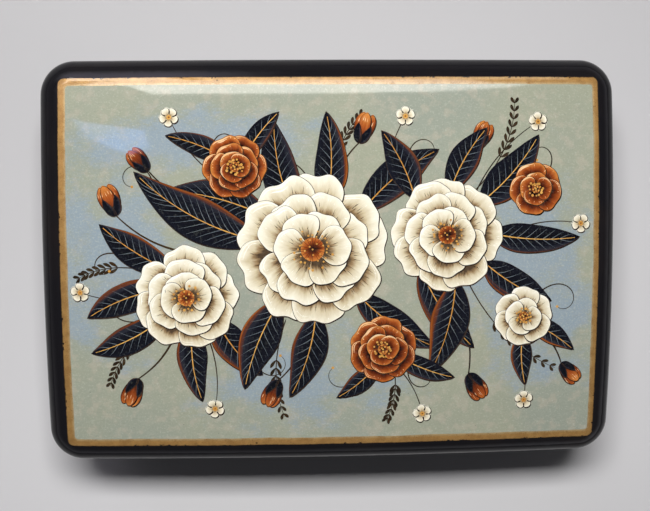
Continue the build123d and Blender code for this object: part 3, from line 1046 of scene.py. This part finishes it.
class Picture:
    def __init__(self):
        self.films = {}
        self.level = 0
        self.chance = random.Random(7)

    def lay(self, film, grid, across, along, tone, over=0.0):
        lift = spray["lift"] + spray["film"] * self.level + over
        self.films.setdefault(film, Film()).lay(grid, across, along, tone, lift)

    def patch(self, film, shape, tone, hidden=0.0):
        grid = shape.at(shape.rows[:, None], shape.columns[None, :])
        self.lay(film, grid, shape.columns, (shape.rows - hidden) / (1 - hidden), tone)

    def stray(self, most):
        # By chance, to either side
        return self.chance.uniform(-most, most)

    def stroke(self, film, path, widths):
        # A brush line along a path
        tangent = np.gradient(path, axis=0)
        tangent /= np.linalg.norm(tangent, axis=1)[:, None] + 1e-9
        right = np.stack([tangent[:, 1], -tangent[:, 0]], -1)
        half = (np.broadcast_to(widths, len(path)) / 2)[:, None]
        grid = np.stack([path - right * half, path + right * half], 1)
        along = np.linspace(0, 1, len(path))
        self.lay(film, grid, np.array([-1.0, 1.0]), along, self.chance.random(), spray["line"])

    def line(self, film, path, *widths):
        # A stroke that is pressed in and lifted off
        path = evenPath(path, spray["step"])
        self.stroke(film, path, tapered(len(path), *widths))

    def outline(self, shape, trim):
        # Round a patch, heavier on the side away from the light
        path = evenPath(shape.edge(trim), spray["step"])
        tangent = np.gradient(path, axis=0)
        outward = np.stack([-tangent[:, 1], tangent[:, 0]], -1)
        outward /= np.linalg.norm(outward, axis=1)[:, None] + 1e-9
        dark = (1 - outward @ aim(spray["light"])) / 2
        thin, thick = brush["outline"]
        knots = [self.chance.uniform(*brush["knotPress"]) for _ in range(brush["knots"])]
        press = np.interp(np.linspace(0, 1, len(path)), np.linspace(0, 1, len(knots)), knots)
        self.stroke("umberLines", path, (thin + (thick - thin) * dark ** brush["outlinePower"]) * press)

    def hairs(self, shape, film, count, roots, reach, hidden=0.0, spread=brush["hairSpread"]):
        # Hairlines that follow a patch's own run, each from a root and over a reach, as shares of what shows
        points = brush["hairPoints"]
        for _ in range(count):
            across = self.stray(spread)
            start = self.chance.uniform(*roots)
            along = hidden + (1 - hidden) * np.linspace(start, start + self.chance.uniform(*reach), points)
            lean = across * (1 + self.chance.uniform(*brush["hairLean"]) * np.linspace(0, 1, points))
            self.line(film, shape.at(along, lean), brush["hair"] * self.chance.uniform(*brush["hairPress"]))

    def petal(self, film, shape, hidden, hairs, edgeLight):
        facing = math.cos(shape.heading - spray["light"])
        least, lit, byChance = petals["tone"]
        self.patch(film, shape, least + lit * facing + byChance * self.chance.random(), hidden)
        self.hairs(shape, "umberLines", hairs, *petals["rootHairs"], hidden)
        share = petals["edgeShare"]
        self.hairs(shape, edgeLight, int(hairs * share), *petals["edgeHairs"], hidden, share)
        swing = (shape.heading - spray["light"] + math.pi) % (2 * math.pi) - math.pi
        middle = float(np.clip(swing / shape.halfAngle, -petals["lightSwing"], petals["lightSwing"]))
        width = petals["lightWidth"][0] + petals["lightWidth"][1] * facing
        for along, span in petals["lights"]:
            across = np.linspace(middle - span, middle + span, 24)
            self.line(edgeLight, shape.at(along, across), width, 0.5)
        self.outline(shape, petals["outlineTrim"])
        self.level += 1

    def bloom(self, film, centre, size, rings, turn):
        self.level = spray["bloomFilm"]
        heart = size * bloomForm["heart"]
        step = bloomForm["ringStep"] / len(rings)
        outs = [size * (1 - step * ring) for ring in range(len(rings))] + [heart]
        fewest, more = bloomForm["hairs"]
        for ring, count in enumerate(rings):
            out = outs[ring]
            for i in range(count):
                angle = math.radians(turn + 360 / count * (i + 0.5 * ring))
                angle += self.stray(bloomForm["turnChance"])
                length = out * self.chance.uniform(*bloomForm["lengths"])
                width = 2 * math.pi * out / count * self.chance.uniform(*bloomForm["widths"])
                root = np.array(centre) + (out - length) * aim(angle)
                hidden = max((outs[ring + 1] * bloomForm["covered"] - (out - length)) / length, 0.0)
                bend = self.stray(bloomForm["bend"])
                shape = Petal(root, angle, length, width, bend, self.chance.uniform(0, 6))
                self.petal(film + "Petals", shape, hidden, int(fewest + size * more), film + "Lights")
        self.heart(np.array(centre), heart)

    def disc(self, film, centre, radius, sides=10):
        # A touch of the loaded brush: a small round patch
        rows, columns = np.linspace(0.05, 1, 3), np.linspace(0, 1, sides + 1)
        grid = np.array(centre) + radius * rows[:, None, None] * aim(-2 * math.pi * columns)[None]
        self.lay(film, grid, columns, rows, self.chance.random(), spray["line"])

    def heart(self, centre, size):
        # Stamens: a dark middle, then a ring of ochre dots on hairs
        form = heartForm
        self.disc("russetPetals", centre, size * form["middle"], 20)
        self.level += 1
        fewest, more = form["stamens"]
        for i in range(int(fewest + size * more)):
            reach = size * self.chance.uniform(*form["reach"])
            tip = centre + reach * aim(i * spray["turn"] + self.stray(form["sway"]))
            self.stroke("umberLines", np.linspace(centre, tip, 6), form["thread"])
            self.disc("ochreTouches", tip, self.chance.uniform(*form["dots"]))
        self.level += 1
        fewest, more = form["innerDots"]
        for i in range(int(fewest + size * more)):
            place = centre + size * form["innerStep"] * math.sqrt(i) * aim(i * spray["turn"])
            self.disc("ochreTouches", place, form["innerDot"])

    def leaf(self, root, heading, length, width, bend):
        seed = self.chance.uniform(0, 6)
        shape = Leaf(root, math.radians(heading), length, width, math.radians(bend), seed)
        self.patch("leaves", shape, self.chance.random())
        self.line("ochreTouches", shape.at(np.linspace(*leaves["rib"], 30), 0.0), *leaves["ribWidths"])
        count = int(length * leaves["veinsPerMm"])
        first, run = leaves["veins"]
        along, across = leaves["veinReach"]
        t = np.linspace(0, 1, 10)
        for i in range(count):
            for side in (-1, 1):
                vein = shape.at(first + run * i / count + along * t, side * t ** leaves["veinPower"] * across)
                self.line("veins", vein, *leaves["veinWidths"])
        self.outline(shape, leaves["outlineTrim"])

    def stem(self, start, end, sway, width=stems["width"]):
        start, end = np.array(start, float), np.array(end, float)
        t = np.linspace(0, 1, 40)[:, None]
        side = np.array([start[1] - end[1], end[0] - start[0]]) * sway
        path = evenPath(start + (end - start) * t + side * (t * (1 - t)) * 2, spray["step"])
        self.stroke("stems", path, np.linspace(width, width * stems["endShare"], len(path)))

    def tendril(self, root, heading, length, curl):
        path = curledPath(root, heading, length, curl, stems["tendrilPower"])
        self.stroke("stems", path, tapered(len(path), *stems["tendril"]))
        self.disc("ochreTouches", path[-1], stems["tendrilDot"])

    def sprig(self, root, heading, length, curl):
        # A fine stem with pairs of drops, as the gold grasses on lacquer are painted
        path = curledPath(root, heading, length, curl, stems["sprigPower"])
        self.stroke("stems", path, tapered(len(path), *stems["sprig"]))
        longest, loss = stems["dropLength"]
        for share in np.linspace(*stems["drops"]):
            i = int(share * (len(path) - 1))
            run = path[i] - path[i - 1]
            for lean in (-stems["dropLean"], stems["dropLean"]):
                angle = math.atan2(run[1], run[0]) + lean
                size = (longest - loss * share, stems["dropWidth"])
                drop = Leaf(path[i], angle, *size, -lean * stems["dropBend"], 0.0, *stems["dropForm"])
                self.patch("stems", drop, self.chance.random())

    def floret(self, centre, start):
        level = self.level
        self.stem(start, centre, florets["sway"], florets["stem"])
        self.level += 1
        turn = self.chance.uniform(0, 1)
        for i in range(florets["petals"]):
            angle = turn + 2 * math.pi / florets["petals"] * i
            root = np.array(centre) + florets["out"] * aim(angle)
            shape = Petal(root, angle, florets["length"], florets["width"], 0.0, self.chance.uniform(0, 6))
            self.patch("creamPetals", shape, florets["tone"])
            self.outline(shape, petals["outlineTrim"])
        self.level += 1
        self.disc("ochreTouches", centre, florets["middle"])
        self.disc("russetPetals", centre, florets["dot"])
        self.level = level

    def bud(self, root, heading, length, width, start):
        level = self.level
        self.stem(start, root, buds["sway"])
        angle = math.radians(heading)
        long, wide, bent = buds["petal"]
        for lean in buds["leans"]:
            self.level += 1
            bend = -lean * bent or buds["leastBend"]
            shape = Leaf(root, angle + lean, length * long, width * wide, bend, lean, *buds["petalForm"])
            self.patch("russetPetals", shape, self.chance.random())
            self.hairs(shape, "umberLines", *buds["rootHairs"])
            self.hairs(shape, "russetLights", *buds["tipHairs"])
            self.outline(shape, buds["petalTrim"])
        self.level += 1
        long, wide, bent = buds["sepal"]
        for lean in buds["sepalLeans"]:
            bend = -lean * bent
            shape = Leaf(root, angle + lean, length * long, width * wide, bend, lean, *buds["sepalForm"])
            self.patch("leaves", shape, self.chance.random())
            self.outline(shape, buds["sepalTrim"])
        self.level = level


def paintPicture():
    picture = Picture()
    for tendril in spray["tendrils"]:
        picture.tendril(*tendril)
    for sprig in spray["sprigs"]:
        picture.sprig(*sprig)
    for bud in spray["buds"]:
        picture.bud(*bud)
    for floret in spray["florets"]:
        picture.floret(*floret)
    for i, leaf in enumerate(spray["leaves"]):
        picture.level = spray["leafFilm"] + i % spray["leafFilms"]
        picture.leaf(*leaf)
    for colour, blooms in spray["blooms"].items():
        for bloom in blooms:
            picture.bloom(colour, *bloom)
    for name, film in picture.films.items():
        film.piece(name, filmPaint(name), "picture_paint")
    print("flower spray:", sum(film.count for film in picture.films.values()), "points")


# Paints of the spray: a ramp from the root to the tip, streaked as a brush leaves it
paints = {
    "creamPetals": [
        (0.0, (78, 62, 46)), (0.16, (146, 120, 86)), (0.38, (204, 190, 158)), (0.72, (231, 224, 202)),
        (1.0, (242, 238, 224)),
    ],
    "russetPetals": [(0.0, (34, 14, 10)), (0.3, (92, 38, 18)), (0.62, (150, 72, 30)), (1.0, (200, 126, 60))],
    "leaves": [
        (0.0, (11, 12, 17)), (0.45, (20, 22, 31)), (0.72, (36, 38, 47)), (0.86, (112, 56, 24)),
        (1.0, (164, 92, 38)),
    ],
    "stems": [(0.0, (30, 24, 20)), (1.0, (62, 46, 30))],
    "veins": [(0.0, (78, 88, 100)), (1.0, (124, 132, 134))],
    "umberLines": [(0.0, (24, 18, 16)), (1.0, (60, 44, 34))],
    "creamLights": [(0.0, (240, 236, 222)), (1.0, (250, 248, 240))],
    "russetLights": [(0.0, (222, 168, 108)), (1.0, (242, 214, 172))],
    "ochreTouches": [(0.0, (176, 120, 50)), (1.0, (220, 172, 92))],
}
paintWear = {
    "streakNoise": ((6.0, 1.0, 40.0), 4.0, 0.65),  # scales across, along and from patch to patch
    "thinNoise": (2.2, 3.0, 0.6),  # where the ground shows through
    "thinFade": (0.5, 0.8),
    "thinShare": 0.08,
    # What the run to the tip, the streaks, the sides, the right side and the patch's tone do in the ramp
    "petal": {"run": 0.92, "streaks": 0.7, "sides": 0.25, "sidePower": 4, "tone": 0.36},
    "leaf": {"sides": 0.62, "right": 0.22, "streaks": 0.55, "tone": 0.12, "start": 0.07},
    "line": {"tone": 0.6, "streaks": 0.4},
}


def filmPaint(name):
    sheet = newSheet(name)
    roughness, normal = lacquerGloss(sheet)[:2]
    mark = sheet.add("ShaderNodeAttribute", {"attribute_name": "strokePlace"}, {}, "Vector")
    across, along, tone = sheet.axes(mark)
    side = sheet.math("ABSOLUTE", across)
    streaks = sheet.noise(mark, *paintWear["streakNoise"])
    if name in ("creamPetals", "russetPetals"):
        does = paintWear["petal"]
        value = along * does["run"] + (streaks - 0.5) * does["streaks"]
        value = value - (side ** does["sidePower"]) * does["sides"] + (tone - 0.5) * does["tone"]
    elif name == "leaves":
        does = paintWear["leaf"]
        value = side * does["sides"] + across * does["right"] + (streaks - 0.5) * does["streaks"]
        value = value + (tone - 0.5) * does["tone"] + does["start"]
    else:
        does = paintWear["line"]
        value = tone * does["tone"] + streaks * does["streaks"]
    colour = sheet.ramp(value, *((place, paint(*shade)) for place, shade in paints[name]))
    colour = sheet.mix(sheet.patches(paintWear, "thin") * paintWear["thinShare"], colour, ground["sage"])
    shine = lacquer["shine"]
    return sheet.finish(Base_Color=colour, Roughness=roughness, Normal=normal, Specular_IOR_Level=shine)


paintPicture()
